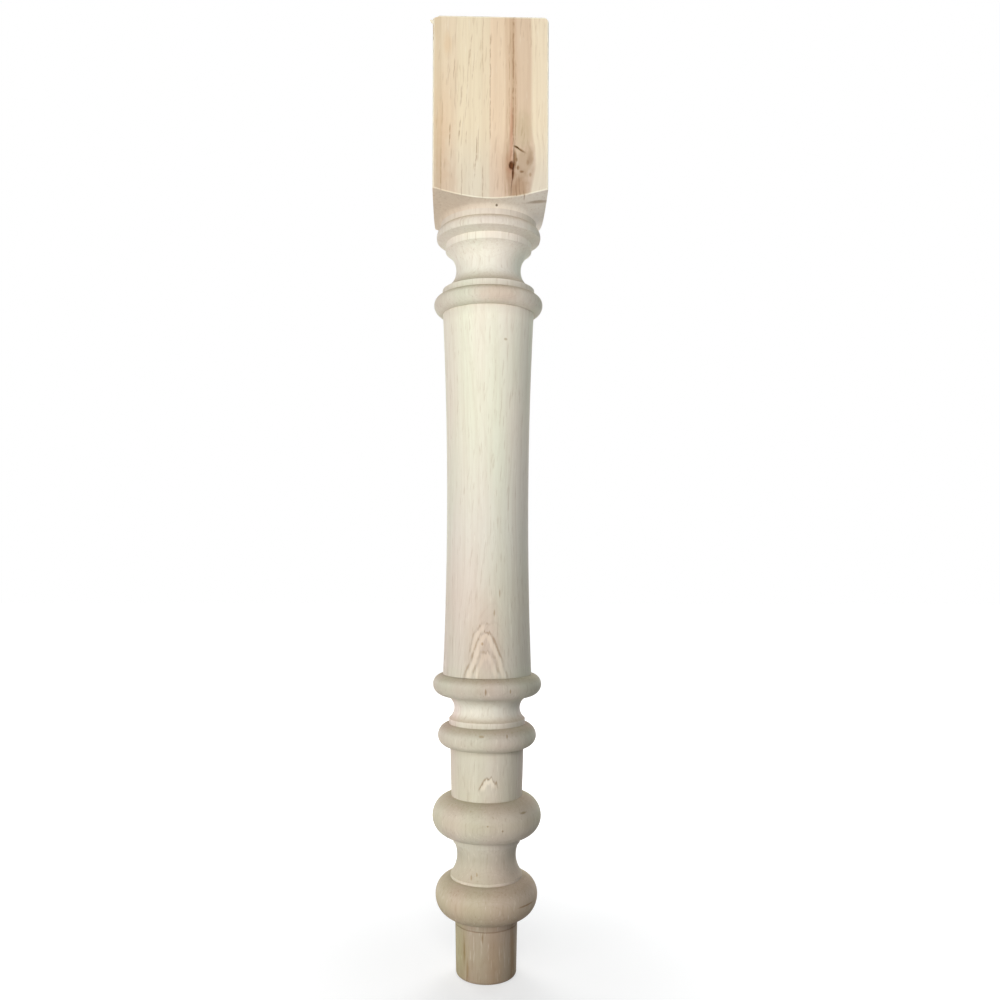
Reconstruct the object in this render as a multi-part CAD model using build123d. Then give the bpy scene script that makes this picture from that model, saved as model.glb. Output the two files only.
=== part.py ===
from build123d import *
import os

# Turned table leg in raw wood: square block above, turned shaft and foot below.
# Millimetres, +Z up, origin at the centre of the foot's underside, front face towards -Y.

# Stock
BLOCK_WIDTH = 87.0             # planed square stock, across the flats
BLOCK_EDGE_ROUND = 1.0         # rubbed-down long edges of the stock
TOP_EDGE_BREAK = 0.6           # sawn top end, arris just taken off

# Lengths along the axis, from the foot upwards
FOOT_RIM_LENGTH = 2.6          # rounding under the foot
FOOT_LENGTH = 38.2             # plain foot up to the cut line
CUT_LINE_LENGTH = 1.4          # cut line round the foot
FOOT_BAND_LENGTH = 4.9         # band between the cut line and the lower bulb
LOWER_BULB_UNDER = 16.9        # lower bulb, from its bottom to its widest place
LOWER_BULB_OVER = 13.8         # lower bulb, from its widest place to its top
LOWER_LIP_LENGTH = 2.0         # lip on the lower bulb
LOWER_COVE_LENGTH = 25.6       # cove between the two bulbs
BULB_FILLET_LENGTH = 4.8       # fillet under the upper bulb
UPPER_BULB_UNDER = 15.8        # upper bulb, from its bottom to its widest place
UPPER_BULB_OVER = 16.2         # upper bulb, from its widest place to its top
NECK_LENGTH = 38.8             # plain neck
LOWER_RING_UNDER = 8.8         # lower ring, from its bottom to its widest place
LOWER_RING_OVER = 9.4          # lower ring, from its widest place to its top
LOWER_RING_FILLET = 4.1        # fillet on the lower ring
MIDDLE_COVE_LENGTH = 18.2      # cove between the two rings
UPPER_RING_UNDER = 9.0         # upper ring, from its bottom to its widest place
UPPER_RING_OVER = 7.9          # upper ring, from its widest place to its top
COLUMN_LENGTH = 285.0          # long hollowed column
BEAD_UNDER = 7.6               # bead on the column, from its bottom to its widest place
BEAD_OVER = 6.6                # bead on the column, from its widest place to its top
BEAD_FILLET_LENGTH = 4.9       # fillet on the bead
UPPER_COVE_LENGTH = 31.3       # deep cove under the collar
COLLAR_LIP_LENGTH = 5.3        # lip over the deep cove
COLLAR_CHAMFER_LENGTH = 3.1    # sloping underside of the collar
COLLAR_LENGTH = 8.6            # rounded side of the collar
COLLAR_FILLET_LENGTH = 4.3     # fillet on the collar
SHOULDER_ROOT_LENGTH = 3.6     # hollow at the root of the shoulder
BLOCK_LENGTH = 137.9           # square block, from the shoulder's root to the top

# Radii
FOOT_RIM_RADIUS = 21.6
FOOT_RADIUS = 24.0             # foot just over its rim
FOOT_TOP_RADIUS = 24.7         # foot at the cut line
FOOT_BAND_RADIUS = 25.2
LOWER_BULB_FOOT_RADIUS = 26.0
LOWER_BULB_RADIUS = 40.5
LOWER_LIP_RADIUS = 28.6
LOWER_COVE_TOP_RADIUS = 26.0
BULB_FILLET_RADIUS = 26.6
UPPER_BULB_RADIUS = 43.2
UPPER_BULB_TOP_RADIUS = 28.6
NECK_FOOT_RADIUS = 28.2
NECK_TOP_RADIUS = 29.2
LOWER_RING_FOOT_RADIUS = 29.6
LOWER_RING_RADIUS = 39.1
LOWER_RING_FILLET_RADIUS = 30.2
UPPER_RING_FOOT_RADIUS = 33.5
UPPER_RING_RADIUS = 43.1
COLUMN_FOOT_RADIUS = 35.2
COLUMN_TOP_RADIUS = 36.1
BEAD_RADIUS = 43.1
BEAD_FILLET_RADIUS = 36.5
COLLAR_LIP_RADIUS = 34.1
COLLAR_EDGE_RADIUS = 40.8      # sharp turn between the collar's side and its underside
COLLAR_FILLET_RADIUS = 37.8
SHOULDER_ROOT_RADIUS = 40.5

# Depths and bulges, square to the chord
CUT_LINE_DEPTH = 0.6
FOOT_RIM_BULGE = 0.75
LOWER_COVE_DEPTH = 3.8
MIDDLE_COVE_DEPTH = 5.6
COLUMN_DEPTH = 3.25
UPPER_COVE_DEPTH = 9.6
COLLAR_BULGE = 1.7
SHOULDER_ROOT_DEPTH = 0.5
SHOULDER_RISE = 0.42           # rise of the sloping shoulder for each millimetre outwards

# Broken corners of the block's top end, along each edge
LEFT_CORNER_CHIP = 4.4
RIGHT_CORNER_CHIP = 3.0

# The blank is drawn this far beyond the block's corners, so that the flats cut it clean
BLANK_ALLOWANCE = 4.0


def up(point, radius, length):
    """Point at the given radius, one length further up the axis."""
    return (radius, point[1] + length)


def straight(start, end):
    """Straight side from start to end."""
    return [Line(start, end)]


def step(start, radius):
    """Level step in or out to a radius, nothing where there is no step."""
    end = (radius, start[1])
    return end, straight(start, end) if radius != start[0] else []


def hollow(start, end, depth):
    """Arc sunk into the wood by depth, seen from outside, going up."""
    return [SagittaArc(start, end, depth)]


def round_out(start, end, bulge):
    """Arc standing out of the wood by bulge, going up."""
    return [SagittaArc(start, end, -bulge)]


def swell(start, crest, end):
    """Bead or bulb: a quarter ellipse out to the crest and another back in."""
    below = EllipticalCenterArc(
        (start[0], crest[1]), crest[0] - start[0], crest[1] - start[1], 270, arc_size=90)
    above = EllipticalCenterArc(
        (end[0], crest[1]), crest[0] - end[0], end[1] - crest[1], 0, arc_size=90)
    return [below, above]


def foot():
    """Foot with its rounded rim, cut line and band."""
    centre = (0, 0)
    rim = (FOOT_RIM_RADIUS, 0)
    side = up(rim, FOOT_RADIUS, FOOT_RIM_LENGTH)
    line_start = up(side, FOOT_TOP_RADIUS, FOOT_LENGTH)
    line_root = up(line_start, FOOT_TOP_RADIUS - CUT_LINE_DEPTH, CUT_LINE_LENGTH / 2)
    line_end = up(line_root, FOOT_BAND_RADIUS, CUT_LINE_LENGTH / 2)
    band_top = up(line_end, FOOT_BAND_RADIUS, FOOT_BAND_LENGTH)
    edges = straight(centre, rim)
    edges += round_out(rim, side, FOOT_RIM_BULGE)
    edges += straight(side, line_start)
    edges += straight(line_start, line_root)
    edges += straight(line_root, line_end)
    edges += straight(line_end, band_top)
    return band_top, edges


def lower_bulb(start):
    """Lower bulb with the thin lip on it."""
    bottom, edges = step(start, LOWER_BULB_FOOT_RADIUS)
    crest = up(bottom, LOWER_BULB_RADIUS, LOWER_BULB_UNDER)
    top = up(crest, LOWER_LIP_RADIUS, LOWER_BULB_OVER)
    lip = up(top, LOWER_LIP_RADIUS, LOWER_LIP_LENGTH)
    edges += swell(bottom, crest, top)
    edges += straight(top, lip)
    return lip, edges


def lower_cove(start):
    """Cove between the bulbs and the fillet over it."""
    top = up(start, LOWER_COVE_TOP_RADIUS, LOWER_COVE_LENGTH)
    fillet_foot, fillet_step = step(top, BULB_FILLET_RADIUS)
    fillet_top = up(fillet_foot, BULB_FILLET_RADIUS, BULB_FILLET_LENGTH)
    edges = hollow(start, top, LOWER_COVE_DEPTH)
    edges += fillet_step
    edges += straight(fillet_foot, fillet_top)
    return fillet_top, edges


def upper_bulb(start):
    """Upper, larger bulb."""
    crest = up(start, UPPER_BULB_RADIUS, UPPER_BULB_UNDER)
    top = up(crest, UPPER_BULB_TOP_RADIUS, UPPER_BULB_OVER)
    return top, swell(start, crest, top)


def neck(start):
    """Plain neck, a little wider at its top."""
    bottom, edges = step(start, NECK_FOOT_RADIUS)
    top = up(bottom, NECK_TOP_RADIUS, NECK_LENGTH)
    edges += straight(bottom, top)
    return top, edges


def lower_ring(start):
    """Lower ring with its fillet."""
    bottom, edges = step(start, LOWER_RING_FOOT_RADIUS)
    crest = up(bottom, LOWER_RING_RADIUS, LOWER_RING_UNDER)
    top = up(crest, LOWER_RING_FILLET_RADIUS, LOWER_RING_OVER)
    fillet_top = up(top, LOWER_RING_FILLET_RADIUS, LOWER_RING_FILLET)
    edges += swell(bottom, crest, top)
    edges += straight(top, fillet_top)
    return fillet_top, edges


def upper_ring(start):
    """Cove between the rings and the upper ring over it."""
    bottom = up(start, UPPER_RING_FOOT_RADIUS, MIDDLE_COVE_LENGTH)
    crest = up(bottom, UPPER_RING_RADIUS, UPPER_RING_UNDER)
    top = up(crest, COLUMN_FOOT_RADIUS, UPPER_RING_OVER)
    edges = hollow(start, bottom, MIDDLE_COVE_DEPTH)
    edges += swell(bottom, crest, top)
    return top, edges


def column(start):
    """Long column with its gentle hollow."""
    top = up(start, COLUMN_TOP_RADIUS, COLUMN_LENGTH)
    return top, hollow(start, top, COLUMN_DEPTH)


def bead(start):
    """Bead at the column's head with its fillet."""
    crest = up(start, BEAD_RADIUS, BEAD_UNDER)
    top = up(crest, BEAD_FILLET_RADIUS, BEAD_OVER)
    fillet_top = up(top, BEAD_FILLET_RADIUS, BEAD_FILLET_LENGTH)
    edges = swell(start, crest, top)
    edges += straight(top, fillet_top)
    return fillet_top, edges


def collar(start):
    """Deep cove, lip, and the collar with its sloping underside and its fillet."""
    lip_foot = up(start, COLLAR_LIP_RADIUS, UPPER_COVE_LENGTH)
    lip_top = up(lip_foot, COLLAR_LIP_RADIUS, COLLAR_LIP_LENGTH)
    edge = up(lip_top, COLLAR_EDGE_RADIUS, COLLAR_CHAMFER_LENGTH)
    top = up(edge, COLLAR_FILLET_RADIUS, COLLAR_LENGTH)
    fillet_top = up(top, COLLAR_FILLET_RADIUS, COLLAR_FILLET_LENGTH)
    edges = hollow(start, lip_foot, UPPER_COVE_DEPTH)
    edges += straight(lip_foot, lip_top)
    edges += straight(lip_top, edge)
    edges += round_out(edge, top, COLLAR_BULGE)
    edges += straight(top, fillet_top)
    return fillet_top, edges


def shoulder(start):
    """Shoulder: a hollow root, then a slope out beyond the corners, up to the sawn end."""
    blank_radius = BLOCK_WIDTH / 2 * 2 ** 0.5 + BLANK_ALLOWANCE
    root = up(start, SHOULDER_ROOT_RADIUS, SHOULDER_ROOT_LENGTH)
    rise = SHOULDER_RISE * (blank_radius - SHOULDER_ROOT_RADIUS)
    rim = up(root, blank_radius, rise)
    blank_top = up(rim, blank_radius, BLOCK_LENGTH - rise)
    centre = (0, blank_top[1])
    edges = hollow(start, root, SHOULDER_ROOT_DEPTH)
    edges += straight(root, rim)
    edges += straight(rim, blank_top)
    edges += straight(blank_top, centre)
    edges += straight(centre, (0, 0))
    return centre, edges


def turned_blank():
    """Everything the turning leaves, before the four flats are seen."""
    point, edges = foot()
    for section in (lower_bulb, lower_cove, upper_bulb, neck, lower_ring, upper_ring,
                    column, bead, collar, shoulder):
        point, more = section(point)
        edges += more
    half_section = make_face(Wire(edges))
    solid = revolve(Plane.XZ * half_section, Axis.Z)
    return solid, point[1]


def square_stock(length):
    """Square stock with rubbed-down long edges and the sawn end's arris taken off."""
    section = RectangleRounded(BLOCK_WIDTH, BLOCK_WIDTH, BLOCK_EDGE_ROUND)
    stock = extrude(section, length)
    return chamfer(stock.faces().sort_by(Axis.Z)[-1].edges(), TOP_EDGE_BREAK)


def corner_break(side, chip, length):
    """Wedge that takes a chip off one front corner of the top end."""
    half = BLOCK_WIDTH / 2
    outwards = Vector(side, -1, 1).normalized()
    corner = Vector(side * half, -half, length)
    depth = chip / 3 ** 0.5
    cut = Plane(origin=corner - outwards * depth, z_dir=outwards)
    return cut * Box(4 * chip, 4 * chip, 2 * chip, align=(Align.CENTER, Align.CENTER, Align.MIN))


def build_leg():
    """The whole leg as one solid."""
    blank, length = turned_blank()
    leg = blank & square_stock(length)
    leg -= corner_break(-1, LEFT_CORNER_CHIP, length)
    leg -= corner_break(1, RIGHT_CORNER_CHIP, length)
    return leg


os.makedirs("parts", exist_ok=True)
export_step(build_leg(), "parts/turned_leg.step")
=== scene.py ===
"""Dresses a table leg that was turned from one length of raw wood.

The leg is one piece: a round foot, two bulbs, a neck, two rings, a hollowed column, a bead, a deep cove and
a collar, under a square block whose corners run out over a turned shoulder. This script turns the same
outline with a fine mesh, saws the block square, breaks its corners, opens its knot and cracks, and gives
it wood whose growth rings and fibres run through the solid.
"""

import logging
import math
from dataclasses import dataclass, fields
from enum import Enum
from typing import Callable, Sequence, Union

import bpy
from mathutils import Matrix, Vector


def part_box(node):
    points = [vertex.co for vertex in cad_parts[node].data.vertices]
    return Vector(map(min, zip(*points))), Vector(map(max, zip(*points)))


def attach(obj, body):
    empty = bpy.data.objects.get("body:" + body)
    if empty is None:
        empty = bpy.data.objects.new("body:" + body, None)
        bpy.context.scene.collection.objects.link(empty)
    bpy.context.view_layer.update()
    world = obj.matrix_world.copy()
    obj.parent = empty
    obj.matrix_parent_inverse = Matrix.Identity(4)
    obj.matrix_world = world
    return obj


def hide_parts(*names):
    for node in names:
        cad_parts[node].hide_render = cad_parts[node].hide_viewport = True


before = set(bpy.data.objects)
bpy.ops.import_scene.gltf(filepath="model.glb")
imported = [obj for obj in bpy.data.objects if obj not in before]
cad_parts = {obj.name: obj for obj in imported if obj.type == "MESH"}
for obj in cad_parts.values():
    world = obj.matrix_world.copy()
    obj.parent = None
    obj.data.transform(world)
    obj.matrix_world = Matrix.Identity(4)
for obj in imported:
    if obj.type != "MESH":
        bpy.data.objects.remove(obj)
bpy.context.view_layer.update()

LOG = logging.getLogger("turned_leg")
MM = 0.001
LEG_NODE = "turned_leg"
WOOD_SLOT = "raw_wood"
BODY = "root"
FEWEST_STEPS = 6
ARC_OVER_CHORD = 1.4
SAME_PLACE = 1e-6

Point = tuple[float, float]
Triple = tuple[float, float, float]
Shade = tuple[int, int, int]
Colour = tuple[float, float, float, float]
Socket = bpy.types.NodeSocket
Value = Union[float, Socket]


class Shape(Enum):
    """The ways in which a stretch of the turned outline runs upwards."""

    STRAIGHT = "a cylinder, a cone or a square step"
    HOLLOW = "an arc that dips towards the axis"
    ROUND = "an arc that stands out from the axis"
    UNDER = "the quarter ellipse below a crest"
    OVER = "the quarter ellipse above a crest"


@dataclass(frozen=True)
class Cut:
    """One stretch of the turned outline, as the tool leaves it.

    rise is the length along the axis, bottom and top are the radii at its ends, and depth is how far an arc
    leaves the straight line between them.
    """

    shape: Shape
    rise: float
    bottom: float
    top: float
    depth: float = 0.0

    def points(self, base: float, step: float) -> list[Point]:
        """Works out the outline of this stretch.

        Args:
            base: height of its lower end.
            step: longest distance between two points of a curve.

        Returns:
            Radius and height of each point after the first, upwards.
        """
        if self.shape is Shape.STRAIGHT:
            return [(self.top, base + self.rise)]
        chord = math.hypot(self.rise, self.top - self.bottom)
        count = max(FEWEST_STEPS, math.ceil(chord * ARC_OVER_CHORD / step))
        return [self._at(i / count, base) for i in range(1, count + 1)]

    def _at(self, t: float, base: float) -> Point:
        """Gives one point of the curve.

        Args:
            t: its share of the curve, from 0 to 1.
            base: height of the stretch's lower end.

        Returns:
            The point's radius and height.
        """
        if self.shape is Shape.UNDER:
            turn = (1.0 - t) * math.pi / 2
            return (self.bottom + (self.top - self.bottom) * math.cos(turn),
                    base + self.rise * (1.0 - math.sin(turn)))
        if self.shape is Shape.OVER:
            turn = t * math.pi / 2
            return (self.top + (self.bottom - self.top) * math.cos(turn),
                    base + self.rise * math.sin(turn))
        side = -1.0 if self.shape is Shape.HOLLOW else 1.0
        start = Vector((self.bottom, base))
        chord = Vector((self.top, base + self.rise)) - start
        half = chord.length / 2
        outwards = Vector((chord.y, -chord.x)).normalized() * side
        radius = (half * half + self.depth * self.depth) / (2 * self.depth)
        spread = math.asin(min(1.0, half / radius))
        if self.depth > half:
            spread = math.pi - spread
        angle = (2 * t - 1) * spread
        along = chord.normalized() * (radius * math.sin(angle))
        lift = outwards * (radius * math.cos(angle) - radius + self.depth)
        here = start + chord / 2 + along + lift
        return (here.x, here.y)


@dataclass(frozen=True)
class Outline:
    """The turned profile, from the floor to the underside of the block, stretch by stretch."""

    foot_rim: Cut = Cut(Shape.ROUND, 2.6 * MM, 21.6 * MM, 24.0 * MM, 0.75 * MM)
    foot: Cut = Cut(Shape.STRAIGHT, 38.2 * MM, 24.0 * MM, 24.7 * MM)
    line_floor: Cut = Cut(Shape.STRAIGHT, 0.7 * MM, 24.7 * MM, 24.1 * MM)
    line_wall: Cut = Cut(Shape.STRAIGHT, 0.7 * MM, 24.1 * MM, 25.2 * MM)
    band: Cut = Cut(Shape.STRAIGHT, 4.9 * MM, 25.2 * MM, 25.2 * MM)
    lower_bulb_seat: Cut = Cut(Shape.STRAIGHT, 0.0, 25.2 * MM, 26.0 * MM)
    lower_bulb_under: Cut = Cut(Shape.UNDER, 16.9 * MM, 26.0 * MM, 40.5 * MM)
    lower_bulb_over: Cut = Cut(Shape.OVER, 13.8 * MM, 40.5 * MM, 28.6 * MM)
    lower_bulb_lip: Cut = Cut(Shape.STRAIGHT, 2.0 * MM, 28.6 * MM, 28.6 * MM)
    lower_cove: Cut = Cut(Shape.HOLLOW, 25.6 * MM, 28.6 * MM, 26.0 * MM, 3.8 * MM)
    upper_bulb_seat: Cut = Cut(Shape.STRAIGHT, 0.0, 26.0 * MM, 26.6 * MM)
    upper_bulb_fillet: Cut = Cut(Shape.STRAIGHT, 4.8 * MM, 26.6 * MM, 26.6 * MM)
    upper_bulb_under: Cut = Cut(Shape.UNDER, 15.8 * MM, 26.6 * MM, 43.2 * MM)
    upper_bulb_over: Cut = Cut(Shape.OVER, 16.2 * MM, 43.2 * MM, 28.6 * MM)
    neck_step: Cut = Cut(Shape.STRAIGHT, 0.0, 28.6 * MM, 28.2 * MM)
    neck: Cut = Cut(Shape.STRAIGHT, 38.8 * MM, 28.2 * MM, 29.2 * MM)
    lower_ring_seat: Cut = Cut(Shape.STRAIGHT, 0.0, 29.2 * MM, 29.6 * MM)
    lower_ring_under: Cut = Cut(Shape.UNDER, 8.8 * MM, 29.6 * MM, 39.1 * MM)
    lower_ring_over: Cut = Cut(Shape.OVER, 9.4 * MM, 39.1 * MM, 30.2 * MM)
    lower_ring_fillet: Cut = Cut(Shape.STRAIGHT, 4.1 * MM, 30.2 * MM, 30.2 * MM)
    middle_cove: Cut = Cut(Shape.HOLLOW, 18.2 * MM, 30.2 * MM, 33.5 * MM, 5.6 * MM)
    upper_ring_under: Cut = Cut(Shape.UNDER, 9.0 * MM, 33.5 * MM, 43.1 * MM)
    upper_ring_over: Cut = Cut(Shape.OVER, 7.9 * MM, 43.1 * MM, 35.2 * MM)
    column: Cut = Cut(Shape.HOLLOW, 285.0 * MM, 35.2 * MM, 36.1 * MM, 3.25 * MM)
    bead_under: Cut = Cut(Shape.UNDER, 7.6 * MM, 36.1 * MM, 43.1 * MM)
    bead_over: Cut = Cut(Shape.OVER, 6.6 * MM, 43.1 * MM, 36.5 * MM)
    bead_fillet: Cut = Cut(Shape.STRAIGHT, 4.9 * MM, 36.5 * MM, 36.5 * MM)
    upper_cove: Cut = Cut(Shape.HOLLOW, 31.3 * MM, 36.5 * MM, 34.1 * MM, 9.6 * MM)
    collar_lip: Cut = Cut(Shape.STRAIGHT, 5.3 * MM, 34.1 * MM, 34.1 * MM)
    collar_slope: Cut = Cut(Shape.STRAIGHT, 3.1 * MM, 34.1 * MM, 40.8 * MM)
    collar: Cut = Cut(Shape.ROUND, 8.6 * MM, 40.8 * MM, 37.8 * MM, 1.7 * MM)
    collar_fillet: Cut = Cut(Shape.STRAIGHT, 4.3 * MM, 37.8 * MM, 37.8 * MM)
    shoulder_root: Cut = Cut(Shape.HOLLOW, 3.6 * MM, 37.8 * MM, 40.5 * MM, 0.5 * MM)

    def cuts(self) -> list[tuple[str, Cut]]:
        """Lists every stretch with its name, from the floor upwards."""
        return [(f.name, getattr(self, f.name)) for f in fields(self)]

    def foot_of(self, name: str) -> float:
        """Finds where a stretch begins.

        Args:
            name: the stretch's name.

        Returns:
            The height of its lower end.
        """
        height = 0.0
        for cut_name, cut in self.cuts():
            if cut_name == name:
                return height
            height += cut.rise
        raise KeyError(name)

    def height(self) -> float:
        """Gives the height at which the shoulder leaves the outline."""
        return sum(cut.rise for _, cut in self.cuts())

    def points(self, step: float) -> list[Point]:
        """Joins the stretches to one line.

        Args:
            step: longest distance between two points of a curve.

        Returns:
            Radius and height of each point, upwards, with none twice.
        """
        line = [(self.foot_rim.bottom, 0.0)]
        base = 0.0
        for _, cut in self.cuts():
            for point in cut.points(base, step):
                if math.dist(point, line[-1]) > SAME_PLACE:
                    line.append(point)
            base += cut.rise
        return line


def deselect_all() -> None:
    """Leaves edit mode and clears the selection, so that an operator meets only what comes after."""
    if bpy.context.object and bpy.context.object.mode != "OBJECT":
        bpy.ops.object.mode_set(mode="OBJECT")
    bpy.ops.object.select_all(action="DESELECT")


def only(piece: bpy.types.Object) -> None:
    """Makes one object the active and the only selected one.

    Args:
        piece: the object.
    """
    deselect_all()
    piece.select_set(True)
    bpy.context.view_layer.objects.active = piece


def settle(piece: bpy.types.Object) -> None:
    """Moves an object's place into its mesh."""
    only(piece)
    bpy.ops.object.transform_apply(location=True, rotation=True, scale=True)


def combine(piece: bpy.types.Object, tool: bpy.types.Object, operation: str) -> None:
    """Cuts or joins one closed mesh with another and takes the other away.

    Args:
        piece: the mesh that stays.
        tool: the mesh that is used up.
        operation: INTERSECT, DIFFERENCE or UNION.
    """
    only(piece)
    modifier = piece.modifiers.new(operation.lower(), "BOOLEAN")
    modifier.operation = operation
    modifier.object = tool
    modifier.solver = "EXACT"
    bpy.ops.object.modifier_apply(modifier=modifier.name)
    bpy.data.objects.remove(tool)


def select_edges(piece: bpy.types.Object, wanted: Callable[[Vector, Vector], bool]) -> None:
    """Selects edges of a mesh in edit mode by their place.

    Args:
        piece: the object in edit mode.
        wanted: takes an edge's two ends and says whether it belongs.
    """
    bpy.ops.mesh.select_mode(type="EDGE")
    bpy.ops.mesh.select_all(action="DESELECT")
    bpy.ops.object.mode_set(mode="OBJECT")
    places = [vertex.co for vertex in piece.data.vertices]
    for edge in piece.data.edges:
        edge.select = wanted(places[edge.vertices[0]], places[edge.vertices[1]])
    bpy.ops.object.mode_set(mode="EDIT")


@dataclass(frozen=True)
class Flaw:
    """A small broken, torn or worn place: a lump of irregular form that is taken out of the wood.

    place is its middle, size its half lengths, turn its turn about each axis in degrees, ragged how far the
    points of the lump stray, and seed makes each lump its own.
    """

    name: str
    place: Triple
    size: Triple
    turn: Triple = (0.0, 0.0, 0.0)
    ragged: float = 0.0
    seed: int = 0
    detail: int = 2

    def lump(self) -> bpy.types.Object:
        """Makes the lump at its place.

        Returns:
            The closed mesh that the boolean takes away.
        """
        deselect_all()
        bpy.ops.mesh.primitive_ico_sphere_add(subdivisions=self.detail, radius=1.0, location=self.place,
                                              rotation=[math.radians(a) for a in self.turn])
        piece = bpy.context.object
        piece.name = self.name
        piece.scale = self.size
        settle(piece)
        if self.ragged:
            bpy.ops.object.mode_set(mode="EDIT")
            bpy.ops.mesh.select_all(action="SELECT")
            bpy.ops.transform.vertex_random(offset=self.ragged, uniform=0.5, normal=0.4, seed=self.seed)
            bpy.ops.object.mode_set(mode="OBJECT")
        return piece


@dataclass(frozen=True)
class Crack:
    """A drying crack or a torn grain line in the block's front, as a chain of stations.

    Each station is its place across and up the face, and the crack's width there, all in millimetres, as
    depth is.
    """

    name: str
    stations: tuple[Triple, ...]
    depth: float

    def wedge(self, face: float) -> bpy.types.Object:
        """Makes the wedge that the crack takes out.

        Args:
            face: where the block's front lies.

        Returns:
            The closed mesh that the boolean takes away.
        """
        stations = [(across * MM, up * MM, width * MM) for across, up, width in self.stations]
        across, up, width = stations[0]
        deselect_all()
        bpy.ops.mesh.primitive_circle_add(vertices=4, radius=1.0, fill_type="NGON",
                                          location=(across, face, up))
        piece = bpy.context.object
        piece.name = self.name
        piece.scale = (width / 2, self.depth * MM, 1.0)
        settle(piece)
        bpy.ops.object.mode_set(mode="EDIT")
        bpy.ops.mesh.select_all(action="SELECT")
        for before, here in zip(stations, stations[1:]):
            step = (here[0] - before[0], 0.0, here[1] - before[1])
            bpy.ops.mesh.extrude_region_move(TRANSFORM_OT_translate={"value": step})
            bpy.ops.transform.resize(value=(here[2] / before[2], 1.0, 1.0),
                                     center_override=(here[0], face, here[1]))
        bpy.ops.mesh.select_all(action="SELECT")
        bpy.ops.mesh.normals_make_consistent(inside=False)
        bpy.ops.object.mode_set(mode="OBJECT")
        return piece


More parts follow.
